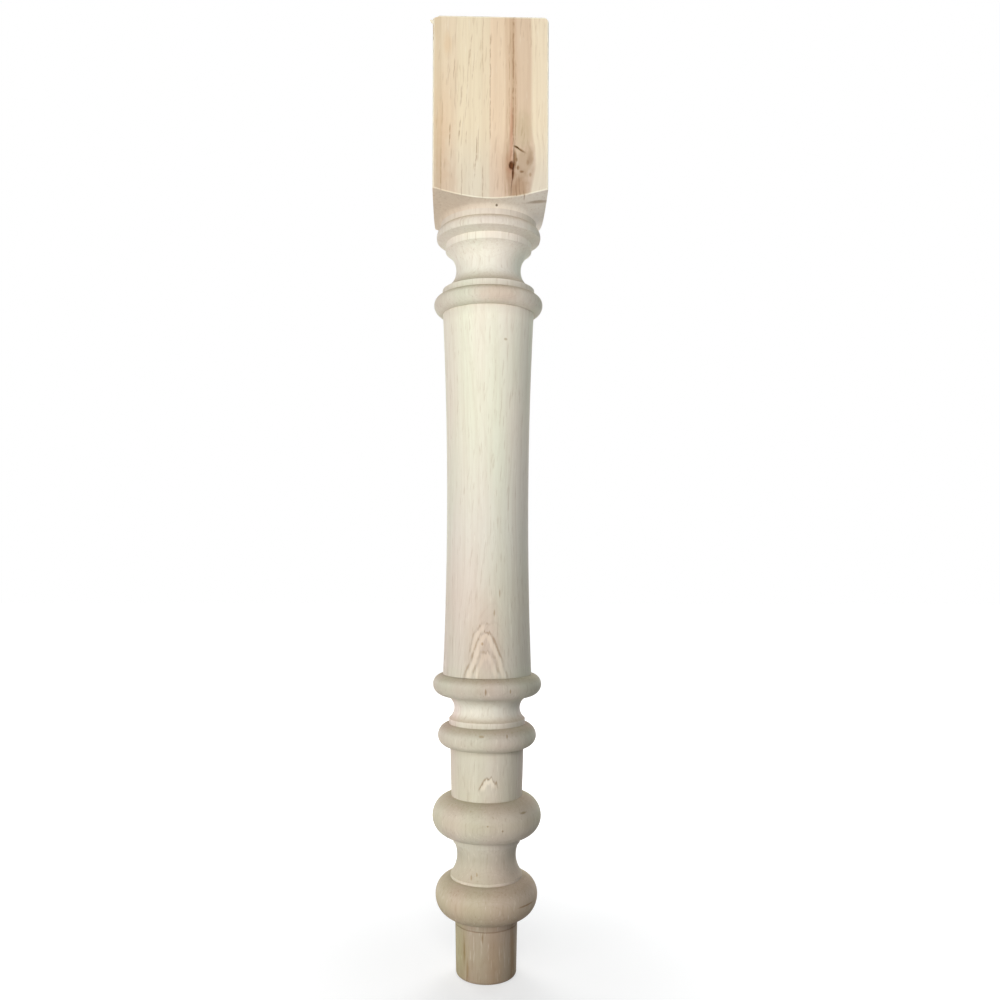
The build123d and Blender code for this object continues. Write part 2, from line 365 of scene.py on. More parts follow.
@dataclass(frozen=True)
class Block:
    """The square head of the leg, and what has been broken from it."""

    width: float
    top: float
    edge_round: float = 1.0 * MM
    edge_steps: int = 4
    top_break: float = 0.6 * MM
    corner_round: float = 5.0 * MM
    corner_turns: tuple[float, ...] = (18.0, 36.0, 54.0, 72.0)
    corner_slope: float = 0.3

    @property
    def half(self) -> float:
        """Half the block's width."""
        return self.width / 2

    def stock(self) -> bpy.types.Object:
        """Makes the sawn square bar that the turned blank is cut from.

        Returns:
            A bar of the block's width and the leg's height, with its long edges rounded and its right front
            corner worn off.
        """
        deselect_all()
        reach = 2.0 * MM
        bpy.ops.mesh.primitive_cube_add(size=1.0, location=(0.0, 0.0, (self.top - reach) / 2))
        bar = bpy.context.object
        bar.name = "square_stock"
        bar.scale = (self.width, self.width, self.top + reach)
        settle(bar)
        bpy.ops.object.mode_set(mode="EDIT")
        select_edges(bar, lambda a, b: abs(a.z - b.z) > self.top / 2)
        bpy.ops.mesh.bevel(offset=self.edge_round, offset_type="OFFSET", segments=self.edge_steps,
                           affect="EDGES")
        select_edges(bar, lambda a, b: min(a.z, b.z) > self.top - 0.1 * MM)
        bpy.ops.mesh.bevel(offset=self.top_break, offset_type="OFFSET", segments=2, affect="EDGES")
        for turn in self.corner_turns:
            out, up = math.cos(math.radians(turn)), math.sin(math.radians(turn))
            inwards = self.corner_round
            touch = (self.half - inwards * (1.0 - out), -self.half, self.top - inwards * (1.0 - up))
            bpy.ops.mesh.select_all(action="SELECT")
            bpy.ops.mesh.bisect(plane_co=touch, plane_no=(out, -self.corner_slope, up), use_fill=True,
                                clear_outer=True)
        bpy.ops.object.mode_set(mode="OBJECT")
        return bar

    def flaws(self) -> list[Flaw]:
        """Lists what is missing from the block and the shoulder, each at its place on the wood."""
        left, front, top = -self.half, -self.half, self.top
        return [
            Flaw("corner_chip", (left + 1.0 * MM, front, top + 0.9 * MM),
                 (7.2 * MM, 5.4 * MM, 3.0 * MM), (0.0, -27.0, 0.0), 0.35 * MM, 3, 3),
            Flaw("corner_tear", (left - 0.7 * MM, front + 0.3 * MM, top - 10.6 * MM),
                 (1.8 * MM, 3.0 * MM, 5.4 * MM), (0.0, 3.0, 0.0), 0.3 * MM, 5),
            Flaw("edge_nick_high", (left - 0.6 * MM, front - 0.2 * MM, top - 16.6 * MM),
                 (1.5 * MM, 2.0 * MM, 3.2 * MM), (0.0, -3.0, 0.0), 0.25 * MM, 7),
            Flaw("edge_nick_middle", (left - 0.5 * MM, front - 0.2 * MM, top - 26.0 * MM),
                 (1.2 * MM, 1.6 * MM, 2.6 * MM), (0.0, 4.0, 0.0), 0.2 * MM, 11),
            Flaw("edge_nick_low", (left - 0.4 * MM, front - 0.2 * MM, top - 35.5 * MM),
                 (1.0 * MM, 1.5 * MM, 4.0 * MM), (0.0, -2.0, 0.0), 0.2 * MM, 13),
            Flaw("edge_wear", (left - 0.4 * MM, front - 0.2 * MM, top - 58.0 * MM),
                 (0.9 * MM, 1.4 * MM, 12.0 * MM), (0.0, 1.0, 0.0), 0.2 * MM, 17),
            Flaw("shoulder_nick", (left + 0.3 * MM, front + 0.4 * MM, 605.6 * MM),
                 (1.5 * MM, 1.8 * MM, 1.3 * MM), (0.0, 10.0, 0.0), 0.2 * MM, 41),
            Flaw("pin_hole", (4.9 * MM, -39.6 * MM, 597.1 * MM),
                 (0.75 * MM, 1.1 * MM, 0.7 * MM), (30.0, 20.0, 0.0), 0.1 * MM, 43, 1),
            Flaw("knot_hole", (15.7 * MM, front, 625.2 * MM),
                 (1.8 * MM, 1.5 * MM, 2.9 * MM), (0.0, 12.0, 0.0), 0.35 * MM, 23),
            Flaw("knot_pit_high", (20.6 * MM, front, 623.3 * MM),
                 (0.6 * MM, 0.5 * MM, 1.2 * MM), (0.0, 0.0, 0.0), 0.15 * MM, 29, 1),
            Flaw("knot_pit_low", (23.4 * MM, front, 620.5 * MM),
                 (1.0 * MM, 0.4 * MM, 0.6 * MM), (0.0, 20.0, 0.0), 0.15 * MM, 31, 1),
        ]

    def cracks(self) -> list[Crack]:
        """Lists the open cracks of the knot."""
        return [
            Crack("long_crack", ((17.4, 648.0, 0.1), (17.7, 642.0, 0.35), (17.5, 635.0, 0.5),
                                 (17.7, 629.0, 0.5), (17.0, 621.0, 0.9), (16.5, 615.0, 0.6),
                                 (15.6, 609.0, 0.3), (15.4, 602.0, 0.2)), 1.0),
            Crack("knot_lid", ((18.4, 639.4, 0.5), (20.6, 638.6, 1.0), (23.0, 635.9, 1.2),
                               (25.8, 635.2, 0.4)), 0.9),
        ]


@dataclass(frozen=True)
class Splinter:
    """The fibre that stands out from the broken corner, from its root to its tip."""

    stations: tuple[tuple[Triple, float], ...]
    thickness: float = 0.9 * MM

    def sliver(self) -> bpy.types.Object:
        """Makes the splinter as a flat strip that narrows towards its tip.

        Returns:
            The closed mesh that is joined to the block.
        """
        (start, width) = self.stations[0]
        deselect_all()
        bpy.ops.mesh.primitive_plane_add(size=1.0, location=start, rotation=(0.0, math.radians(90.0), 0.0))
        piece = bpy.context.object
        piece.name = "corner_splinter"
        piece.scale = (width, self.thickness, 1.0)
        settle(piece)
        bpy.ops.object.mode_set(mode="EDIT")
        bpy.ops.mesh.select_all(action="SELECT")
        for (before, wide), (here, narrow) in zip(self.stations, self.stations[1:]):
            step = Vector(here) - Vector(before)
            bpy.ops.mesh.extrude_region_move(TRANSFORM_OT_translate={"value": step})
            share = narrow / wide
            bpy.ops.transform.resize(value=(1.0, share, share), center_override=here)
        bpy.ops.mesh.select_all(action="SELECT")
        bpy.ops.mesh.normals_make_consistent(inside=False)
        bpy.ops.object.mode_set(mode="OBJECT")
        return piece


@dataclass(frozen=True)
class Shoulder:
    """The turned slope under the block, which rises outwards to the block's corners."""

    root_radius: float
    root_height: float
    rise: float = 0.42

    def height_at(self, radius: float) -> float:
        """Gives the slope's height at a distance from the axis."""
        return self.root_height + (radius - self.root_radius) * self.rise


@dataclass
class TurnedLeg:
    """The leg as one closed mesh."""

    outline: Outline
    block: Block
    shoulder: Shoulder
    steps_round: int = 144
    curve_step: float = 1.2 * MM
    crease_angle: float = 26.0
    allowance: float = 4.0 * MM

    def blank(self) -> bpy.types.Object:
        """Turns the profile about the axis, with the block still round and over long.

        Returns:
            The closed turned blank.
        """
        line = self.outline.points(self.curve_step)
        corner = self.block.half * math.sqrt(2.0) + self.allowance
        line.append((corner, self.shoulder.height_at(corner)))
        line.append((corner, self.block.top + self.allowance))
        deselect_all()
        bpy.ops.mesh.primitive_plane_add(size=1.0 * MM, location=(line[0][0], 0.0, line[0][1]))
        piece = bpy.context.object
        piece.name = "leg"
        settle(piece)
        bpy.ops.object.mode_set(mode="EDIT")
        bpy.ops.mesh.select_mode(type="VERT")
        bpy.ops.mesh.select_all(action="SELECT")
        bpy.ops.mesh.merge(type="CENTER")
        for (r0, z0), (r1, z1) in zip(line, line[1:]):
            bpy.ops.mesh.extrude_region_move(TRANSFORM_OT_translate={"value": (r1 - r0, 0.0, z1 - z0)})
        bpy.ops.mesh.select_all(action="SELECT")
        bpy.ops.mesh.spin(steps=self.steps_round, angle=2 * math.pi, center=(0.0, 0.0, 0.0),
                          axis=(0.0, 0.0, 1.0))
        bpy.ops.mesh.select_all(action="SELECT")
        bpy.ops.mesh.remove_doubles(threshold=0.01 * MM)
        bpy.ops.mesh.fill_holes(sides=0)
        bpy.ops.mesh.select_all(action="SELECT")
        bpy.ops.mesh.normals_make_consistent(inside=False)
        bpy.ops.object.mode_set(mode="OBJECT")
        return piece

    def build(self) -> bpy.types.Object:
        """Turns, saws and wears the leg.

        Returns:
            The finished mesh.
        """
        leg = self.blank()
        combine(leg, self.block.stock(), "INTERSECT")
        front = -self.block.half
        cutters = [flaw.lump() for flaw in self.block.flaws()]
        cutters += [crack.wedge(front) for crack in self.block.cracks()]
        damage = cutters[0]
        for cutter in cutters[1:]:
            combine(damage, cutter, "UNION")
        combine(leg, damage, "DIFFERENCE")
        top = self.block.top
        left = -self.block.half
        splinter = Splinter((
            ((left + 2.6 * MM, front + 0.9 * MM, top - 5.2 * MM), 3.6 * MM),
            ((left + 0.4 * MM, front + 0.7 * MM, top - 5.1 * MM), 3.0 * MM),
            ((left - 1.2 * MM, front + 0.7 * MM, top - 4.3 * MM), 2.0 * MM),
            ((left - 2.4 * MM, front + 0.6 * MM, top - 3.3 * MM), 0.7 * MM),
        ))
        combine(leg, splinter.sliver(), "UNION")
        only(leg)
        bpy.ops.object.shade_smooth_by_angle(angle=math.radians(self.crease_angle))
        return leg


class Laying(Enum):
    """How one colour is laid on another, by the name that the mixing node has for it."""

    COVER = "MIX"
    STAIN = "MULTIPLY"


def from_screen(seen: Shade) -> Colour:
    """Turns a colour as it is seen into the shader's linear values.

    Args:
        seen: its red, green and blue, from 0 to 255.

    Returns:
        The linear colour, opaque.
    """
    def linear(level: int) -> float:
        """Takes one level from the screen's curve."""
        share = level / 255
        return share / 12.92 if share <= 0.04045 else ((share + 0.055) / 1.055) ** 2.4
    red, green, blue = seen
    return (linear(red), linear(green), linear(blue), 1.0)


@dataclass
class Graph:
    """A material's nodes, written as formulas."""

    tree: bpy.types.NodeTree

    def node(self, kind: str, **settings: object) -> bpy.types.Node:
        """Adds a node.

        Args:
            kind: the node's type.
            **settings: its properties, by name.

        Returns:
            The node.
        """
        made = self.tree.nodes.new(kind)
        for name, value in settings.items():
            setattr(made, name, value)
        return made

    def feed(self, socket: Socket, value: object) -> None:
        """Links a socket or writes a plain value into it.

        Args:
            socket: the input.
            value: another node's output, or a number, vector or colour.
        """
        if isinstance(value, bpy.types.NodeSocket):
            self.tree.links.new(value, socket)
        else:
            socket.default_value = value

    def math(self, operation: str, *values: Value, clamp: bool = False) -> Socket:
        """Adds a sum on numbers.

        Args:
            operation: the node's name for it.
            *values: the numbers.
            clamp: whether the result is kept between 0 and 1.

        Returns:
            The result.
        """
        made = self.node("ShaderNodeMath", operation=operation, use_clamp=clamp)
        for socket, value in zip(made.inputs, values):
            self.feed(socket, value)
        return made.outputs[0]

    def times(self, first: Value, *others: Value) -> Socket:
        """Multiplies numbers.

        Args:
            first: the first of them.
            *others: the others.

        Returns:
            The product.
        """
        product = first
        for other in others:
            product = self.math("MULTIPLY", product, other)
        return product

    def plus(self, first: Value, second: Value) -> Socket:
        """Adds two numbers."""
        return self.math("ADD", first, second)

    def minus(self, first: Value, second: Value) -> Socket:
        """Takes the second number from the first."""
        return self.math("SUBTRACT", first, second)

    def vector(self, operation: str, *values: object) -> Socket:
        """Adds a sum on vectors.

        Args:
            operation: the node's name for it.
            *values: the vectors.

        Returns:
            The result, which is a vector.
        """
        made = self.node("ShaderNodeVectorMath", operation=operation)
        for socket, value in zip(made.inputs, values):
            self.feed(socket, value)
        return made.outputs[0]

    def length(self, value: Socket) -> Socket:
        """Measures a vector.

        Args:
            value: the vector.

        Returns:
            Its length.
        """
        made = self.node("ShaderNodeVectorMath", operation="LENGTH")
        self.feed(made.inputs[0], value)
        return made.outputs["Value"]

    def split(self, value: Socket) -> tuple[Socket, Socket, Socket]:
        """Takes a vector apart.

        Args:
            value: the vector.

        Returns:
            Its three parts.
        """
        made = self.node("ShaderNodeSeparateXYZ")
        self.feed(made.inputs[0], value)
        return made.outputs[0], made.outputs[1], made.outputs[2]

    def join(self, x: Value, y: Value, z: Value) -> Socket:
        """Puts a vector together.

        Args:
            x: its first part.
            y: its second part.
            z: its third part.

        Returns:
            The vector.
        """
        made = self.node("ShaderNodeCombineXYZ")
        for socket, value in zip(made.inputs, (x, y, z)):
            self.feed(socket, value)
        return made.outputs[0]

    def noise(self, where: Socket, scale: Triple, detail: float, roughness: float = 0.5,
              shift: Triple = (0.0, 0.0, 0.0)) -> Socket:
        """Adds cloud noise.

        Args:
            where: the place.
            scale: how many clouds a metre holds along each axis.
            detail: how many finer layers the clouds have.
            roughness: how strong the finer layers are.
            shift: moves the clouds, in clouds.

        Returns:
            The noise, from 0 to 1.
        """
        made = self.node("ShaderNodeTexNoise", noise_dimensions="3D")
        self.feed(made.inputs["Vector"], self.vector("MULTIPLY_ADD", where, scale, shift))
        made.inputs["Scale"].default_value = 1.0
        made.inputs["Detail"].default_value = detail
        made.inputs["Roughness"].default_value = roughness
        return made.outputs["Fac"]

    def noise_line(self, where: Socket, detail: float = 1.0) -> Socket:
        """Adds noise along one number.

        Args:
            where: the number, already scaled.
            detail: how many finer layers the noise has.

        Returns:
            The noise, from 0 to 1.
        """
        made = self.node("ShaderNodeTexNoise", noise_dimensions="1D")
        self.feed(made.inputs["W"], where)
        made.inputs["Scale"].default_value = 1.0
        made.inputs["Detail"].default_value = detail
        return made.outputs["Fac"]

    def swing(self, noise: Socket, width: float) -> Socket:
        """Turns noise into a swing about zero that is as wide as it says."""
        return self.times(self.minus(noise, 0.5), width)

    def band(self, value: Socket, low: float, high: float, bottom: float = 0.0, top: float = 1.0) -> Socket:
        """Runs smoothly from one number to another.

        Args:
            value: the number that is followed.
            low: its value where the run begins, which may be above high.
            high: its value where the run ends.
            bottom: the result at low.
            top: the result at high.

        Returns:
            The result, which keeps to bottom and top outside the run.
        """
        made = self.node("ShaderNodeMapRange", interpolation_type="SMOOTHSTEP")
        ends = ((low, bottom), (high, top))
        for name, (place, result) in zip(("Min", "Max"), sorted(ends)):
            made.inputs["From " + name].default_value = place
            made.inputs["To " + name].default_value = result
        self.feed(made.inputs["Value"], value)
        return made.outputs[0]

    def ramp(self, value: Socket, stops: Sequence[tuple[float, Shade]], low: float, high: float) -> Socket:
        """Gives a colour that changes along a length.

        Args:
            value: the length, in metres.
            stops: places between low and high, in millimetres, each with its colour.
            low: where the ramp begins, in metres.
            high: where it ends.

        Returns:
            The colour.
        """
        made = self.node("ShaderNodeValToRGB")
        elements = made.color_ramp.elements
        while len(elements) < len(stops):
            elements.new(0.5)
        for element, (place, seen) in zip(elements, stops):
            element.position = (place * MM - low) / (high - low)
            element.color = from_screen(seen)
        self.feed(made.inputs[0], self.math("DIVIDE", self.minus(value, low), high - low, clamp=True))
        return made.outputs[0]

    def mix(self, share: Value, under: object, over: object, laying: Laying = Laying.COVER) -> Socket:
        """Lays one colour on another.

        Args:
            share: how much of it is laid, from 0 to 1.
            under: the colour below.
            over: the colour that is laid on it.
            laying: whether it covers or stains.

        Returns:
            The mixed colour.
        """
        made = self.node("ShaderNodeMix", data_type="RGBA", blend_type=laying.value)
        self.feed(made.inputs[0], share)
        self.feed(made.inputs[6], under)
        self.feed(made.inputs[7], over)
        return made.outputs[2]

    def stain(self, share: Value, under: Socket, tint: Shade) -> Socket:
        """Multiplies a colour by a tint."""
        return self.mix(share, under, from_screen(tint), Laying.STAIN)

    def cover(self, share: Value, under: Socket, over: Shade) -> Socket:
        """Lays an even colour over another."""
        return self.mix(share, under, from_screen(over))


@dataclass(frozen=True)
class Streak:
    """A line of dark pores on the side with the knot, with its lengths in millimetres.

    across is the place of its middle, low and high are its ends up the leg, and lean is how far it goes to
    the right for each length upwards.
    """

    across: float
    low: float
    high: float
    width: float
    strength: float
    lean: float = 0.0

    def mask(self, graph: Graph, x: Socket, z: Socket, fade: float = 3.0 * MM) -> Socket:
        """Says how much of the streak a place has.

        Args:
            graph: the material's nodes.
            x: the place across the leg.
            z: the place up the leg.
            fade: how far the ends fade, to both sides.

        Returns:
            The streak's share, from 0 to 1.
        """
        low, high, width = self.low * MM, self.high * MM, self.width * MM
        middle = self.across * MM - self.lean * (low + high) / 2
        line = graph.math("MULTIPLY_ADD", z, self.lean, middle)
        beside = graph.math("ABSOLUTE", graph.minus(x, line))
        across = graph.band(beside, 0.7 * width, 0.1 * width)
        ends = graph.times(graph.band(z, low - fade, low + fade), graph.band(z, high + fade, high - fade))
        return graph.times(across, ends, self.strength)


@dataclass(frozen=True)
class Arch:
    """A growth ring that the turning has cut to an arch, with its lengths in millimetres.

    across and top are the place of its top. Its legs stand half apart from the middle at the distance reach
    below the top, and power says how they spread. left and right say how far down each leg is seen.
    """

    name: str
    across: float
    top: float
    half: float
    reach: float
    power: float
    left: float
    right: float
    width: float
    strength: float

    def draw(self, graph: Graph, colour: Socket, place: tuple[Socket, Socket], torn: Socket, broken: Socket,
             share: Socket) -> Socket:
        """Draws the arch as a brown line with pale wood inside it.

        Args:
            graph: the material's nodes.
            colour: the wood's colour so far.
            place: the place across and up the leg.
            torn: how far the fibres tear the line's edge.
            broken: where the line is whole, from 0 to 1.
            share: where on the leg the arch may show, from 0 to 1.

        Returns:
            The colour with the arch on it.
        """
        half, reach, width, fade = self.half * MM, self.reach * MM, self.width * MM, 5 * MM
        left, right = self.left * MM, self.right * MM
        off = graph.minus(place[0], self.across * MM)
        below = graph.minus(self.top * MM, place[1])
        apart = graph.math("DIVIDE", graph.math("ABSOLUTE", off), half)
        steep = graph.times(graph.math("POWER", apart, self.power - 1.0), self.power * reach / half)
        drop = graph.times(graph.math("POWER", apart, self.power), reach)
        slant = graph.math("SQRT", graph.math("MULTIPLY_ADD", steep, steep, 1.0))
        inside = graph.math("DIVIDE", graph.plus(graph.minus(below, drop), torn), slant)
        to_right = graph.band(off, -0.5 * MM, 0.5 * MM)
        right_leg = graph.times(to_right, graph.band(below, right, right - fade))
        left_leg = graph.times(graph.minus(1.0, to_right), graph.band(below, left, left - fade))
        seen = graph.times(graph.plus(right_leg, left_leg), share, self.strength)
        line = graph.times(graph.band(inside, -0.9 * width, -0.2 * width),
                           graph.band(inside, 0.5 * width, 0.0))
        pale = graph.times(graph.band(inside, 0.1 * width, 0.9 * width),
                           graph.band(inside, 3.4 * width, 1.8 * width))
        colour = graph.stain(graph.times(line, seen, broken, 0.62), colour, (196, 176, 154))
        colour = graph.cover(graph.times(pale, seen, 0.34), colour, (248, 238, 220))
        colour.node.label = self.name
        return colour


@dataclass(frozen=True)
class Stripe:
    """One of the broad stripes of the sawn faces, from its left to its right edge, in millimetres."""

    left: float
    right: float
    colour: Shade


@dataclass(frozen=True)
class Patch:
    """A place on the side with the knot where the wood has another colour, in millimetres.

    place is its middle and size its half lengths, both across and up the leg. The wood's colour is
    multiplied by tint there. soft says how far its edge fades, ragged how far the edge strays, and lean how
    far it rises for each length to the right.
    """

    name: str
    place: Point
    size: Point
    tint: Shade
    soft: float = 0.5
    ragged: float = 0.5
    lean: float = 0.0

    def lay(self, graph: Graph, colour: Socket, flat: Socket, rough: Socket, share: Socket) -> Socket:
        """Lays the patch on the wood.

        Args:
            graph: the material's nodes.
            colour: the wood's colour so far.
            flat: the place across and up the leg, with nothing for its depth.
            rough: the noise that frays the patch's edge, about zero.
            share: where on the leg the patch may show, from 0 to 1.

        Returns:
            The colour with the patch on it.
        """
        (across, up), (wide, high) = self.place, self.size
        here = flat
        if self.lean:
            x, _, z = graph.split(flat)
            here = graph.join(x, 0.0, graph.math("MULTIPLY_ADD", x, -self.lean, z))
            up -= self.lean * across
        away = graph.vector("SUBTRACT", here, (across * MM, 0.0, up * MM))
        away = graph.length(graph.vector("DIVIDE", away, (wide * MM, 1.0, high * MM)))
        edge = graph.math("MULTIPLY_ADD", rough, 2.0 * self.ragged, away)
        mask = graph.times(graph.band(edge, 1.0 + self.soft, 1.0 - self.soft), share)
        colour = graph.stain(mask, colour, self.tint)
        colour.node.label = self.name
        return colour


@dataclass(frozen=True)
class Grain:
    """One kind of fine mark that runs along the fibres.

    scale, detail, roughness and shift are those of its noise, and lean how far it goes to the right for each
    length upwards. A mark begins where the noise is above low and is full above high. share is how much
    of tint it lays, and laying how.
    """

    scale: Triple
    detail: float
    roughness: float
    low: float
    high: float
    share: float
    tint: Shade
    laying: Laying = Laying.STAIN
    lean: float = 0.0
    shift: Triple = (0.0, 0.0, 0.0)

    def marks(self, graph: Graph, bent: Socket) -> Socket:
        """Says where the marks are.

        Args:
            graph: the material's nodes.
            bent: the place from which the grain is read.

        Returns:
            The marks, from 0 to 1.
        """
        x, y, z = graph.split(bent)
        leaning = graph.join(graph.math("MULTIPLY_ADD", z, self.lean, x), y, z)
        noise = graph.noise(leaning, self.scale, self.detail, self.roughness, self.shift)
        return graph.band(noise, self.low, self.high)

    def lay(self, graph: Graph, colour: Socket, marks: Socket) -> Socket:
        """Lays the marks on a colour."""
        return graph.mix(graph.times(marks, self.share), colour, from_screen(self.tint), self.laying)


FIBRES = Grain((430.0, 430.0, 11.0), 3.0, 0.6, 0.40, 0.66, 0.12, (206, 186, 164))
PORES = Grain((700.0, 700.0, 62.0), 2.0, 0.5, 0.59, 0.72, 0.22, (184, 154, 120), lean=-0.05)
FLECKS = Grain((640.0, 640.0, 70.0), 2.0, 0.5, 0.60, 0.74, 0.15, (255, 250, 236), Laying.COVER,
               shift=(13.0, 7.0, 3.0))

STRIPES = {
    "worn edge": Stripe(-43.5, -37.4, (228, 208, 177)),
    "warm sapwood": Stripe(-36.2, -26.5, (237, 218, 189)),
    "cream sapwood": Stripe(-24.0, -7.5, (241, 225, 195)),
    "first pink heart": Stripe(-5.5, -1.5, (239, 221, 191)),
    "pink heart": Stripe(0.0, 9.8, (240, 216, 186)),
    "tan line": Stripe(11.2, 13.6, (228, 201, 170)),
    "brown line": Stripe(15.0, 16.6, (214, 185, 154)),
    "tan band": Stripe(17.8, 19.0, (220, 192, 162)),
    "rosy tan band": Stripe(20.4, 29.7, (227, 202, 174)),
    "pale edge": Stripe(31.0, 43.5, (244, 227, 198)),
}

STREAKS = (
    Streak(-37.2, 600, 636, 1.0, 0.55),
    Streak(-36.2, 655, 672, 0.8, 0.45),
    Streak(-30.6, 640, 655, 1.1, 1.0, 0.04),
    Streak(-27.4, 690, 704, 0.9, 0.6, 0.06),
    Streak(-23.3, 645, 660, 1.0, 0.9, 0.05),
    Streak(-22.2, 670, 684, 1.4, 0.6, 0.08),
    Streak(-21.6, 598, 632, 0.8, 0.6),
    Streak(-18.2, 641, 650, 0.9, 0.6, 0.05),
    Streak(-17.6, 660, 712, 0.7, 0.4, 0.05),
    Streak(-15.4, 700, 722, 0.9, 0.6, 0.10),
    Streak(-13.4, 690, 702, 0.9, 0.5, 0.08),
    Streak(-11.0, 617, 645, 0.9, 0.9, 0.05),
    Streak(-9.4, 628, 652, 0.8, 0.5, 0.05),
    Streak(-5.6, 600, 624, 0.8, 0.7),
    Streak(-6.0, 694, 735, 0.7, 0.5),
    Streak(-0.4, 645, 722, 0.8, 0.8),
    Streak(8.8, 606, 634, 0.8, 0.3),
    Streak(14.0, 655, 712, 0.9, 0.5),
    Streak(16.9, 640, 737, 1.5, 0.75),
    Streak(12.2, 628, 668, 0.8, 0.4),
    Streak(18.7, 640, 703, 0.8, 0.6),
    Streak(19.4, 600, 612, 0.9, 0.9, -0.05),
    Streak(21.8, 602, 616, 0.8, 0.7, -0.08),
    Streak(25.0, 601, 612, 0.9, 0.6, -0.10),
)

ARCHES = (
    Arch("broken outer arch", -3.2, 280.0, 10.9, 20.3, 1.9, 24, 3, 1.7, 0.8),
    Arch("outer arch", -1.9, 273.8, 14.0, 28.8, 1.66, 38, 38, 1.8, 1.0),
    Arch("inner arch", -1.9, 259.0, 9.2, 16.0, 2.4, 22, 22, 2.4, 0.7),
    Arch("arch of the neck", 0.9, 161.6, 8.3, 10.4, 1.64, 12, 10, 1.7, 1.3),
)

BLOCK_PATCHES = (
    Patch("salmon streak", (15.7, 648), (1.1, 22), (248, 227, 224), 0.8),
    Patch("greenish tan wood", (24.2, 652), (6.4, 13), (242, 244, 238), 0.6),
    Patch("knot", (25.2, 627), (7.2, 11.5), (232, 228, 222), 0.5),
    Patch("knot's dark side", (30.0, 631), (1.8, 6.0), (232, 226, 220), 0.8),
    Patch("wood under the knot", (21.4, 608), (6.6, 11), (222, 208, 194), 0.7),
    Patch("brown wood left of the knot", (9.5, 616), (7.5, 24), (247, 240, 236), 0.8),
    Patch("wood beside the hole", (15.0, 624), (3.0, 9), (238, 222, 212), 0.8),
    Patch("knot's inner rim", (18.2, 631), (1.4, 6.0), (204, 188, 170), 0.6),
    Patch("knot's hole", (15.8, 625.3), (1.9, 3.2), (158, 132, 106), 0.4),
    Patch("crack under the hole", (16.8, 618.6), (1.0, 3.4), (172, 148, 124)),
    Patch("crescent crack", (22.0, 637.2), (3.6, 1.0), (196, 180, 160), 0.6, 0.3, -0.6),
    Patch("crescent's dark end", (19.4, 638.9), (1.7, 0.8), (170, 150, 128), 0.6, 0.4, -0.4),
    Patch("first pit", (19.6, 629.2), (0.8, 1.6), (210, 196, 180)),
    Patch("second pit", (20.6, 623.3), (0.9, 1.6), (208, 192, 174)),
    Patch("third pit", (23.4, 620.4), (1.4, 0.9), (214, 200, 184)),
    Patch("fourth pit", (27.9, 627.3), (0.9, 1.8), (232, 224, 214), 0.7),
    Patch("fifth pit", (29.9, 618.2), (0.8, 1.4), (230, 220, 208), 0.7),
    Patch("rosy left side", (-35.0, 660), (6.0, 26), (252, 246, 242), 0.8),
    Patch("tan left side", (-37.6, 626), (5.2, 26), (247, 240, 234), 0.8),
    Patch("tan lower left corner", (-32.0, 606), (9.0, 20), (250, 243, 238), 0.8),
    Patch("tan at the top left", (-32.5, 715), (2.6, 8), (250, 243, 235), 0.7),
)

TURNED_PATCHES = (
    Patch("pin knot", (4.9, 597.0), (0.9, 0.8), (140, 128, 112), 0.4, 0.2),
    # A dark line across the right of the shoulder: painted shade of a fine step in the turning, which the
    # mesh does not cut.
    Patch("worn line on the shoulder", (36.5, 602.3), (7.5, 0.45), (204, 192, 180), 0.6, 0.1, 0.22),
    Patch("tick on the shoulder", (25.6, 604.0), (0.5, 2.4), (214, 196, 178)),
    Patch("rosy heart of the arches", (-2.0, 262), (13, 32), (251, 244, 240), 0.7),
    Patch("rosy heart of the bead", (7.0, 530), (15, 6), (249, 240, 235), 0.6),
    Patch("dent in the upper bulb", (27.3, 135.3), (2.2, 0.8), (214, 206, 192)),
    Patch("dot on the upper bulb", (10.9, 124.7), (0.7, 0.7), (214, 202, 188)),
    Patch("second dot on the upper bulb", (-0.4, 128.6), (0.7, 0.6), (224, 212, 198)),
    Patch("scratch on the lower bulb", (30.0, 63.4), (5.4, 0.6), (210, 196, 182)),
    Patch("dash in the lower cove", (-12.3, 83.4), (0.6, 1.6), (228, 216, 202)),
    Patch("second dash in the lower cove", (-8.1, 85.9), (0.6, 1.4), (232, 220, 206)),
    Patch("dash on the lower ring", (-5.2, 194.9), (1.8, 0.8), (226, 213, 198)),
    Patch("second dash on the lower ring", (14.3, 194.6), (0.6, 1.4), (220, 206, 190)),
    Patch("dash on the upper ring", (-2.3, 229.3), (0.6, 2.4), (214, 199, 182)),
    Patch("second dash on the upper ring", (16.6, 229.5), (0.6, 1.6), (220, 206, 190)),
    Patch("dash in the column", (8.5, 303.4), (0.5, 3.0), (222, 208, 194)),
    Patch("second dash in the column", (4.4, 288.4), (0.5, 2.4), (224, 212, 198)),
    Patch("spot in the column", (-4.7, 264.9), (0.9, 1.2), (226, 212, 196)),
    Patch("dot high in the column", (12.4, 497.2), (1.2, 0.9), (222, 214, 200)),
    Patch("olive side of the foot", (-22.0, 22), (6.5, 24), (253, 255, 240), 0.7),
    Patch("brown side of the foot", (20.0, 20), (1.8, 24), (226, 212, 196), 0.8),
    Patch("brown stripe of the foot", (6.0, 18), (5.0, 24), (247, 240, 232), 0.8),
    Patch("streak in the foot", (-17.5, 26.0), (0.8, 11), (224, 212, 194), 0.7),
    Patch("second streak in the foot", (-15.0, 10.0), (0.8, 9), (232, 220, 202), 0.7),
    Patch("short line in the foot", (-3.6, 36.6), (0.6, 3.4), (224, 212, 196), 0.7),
)
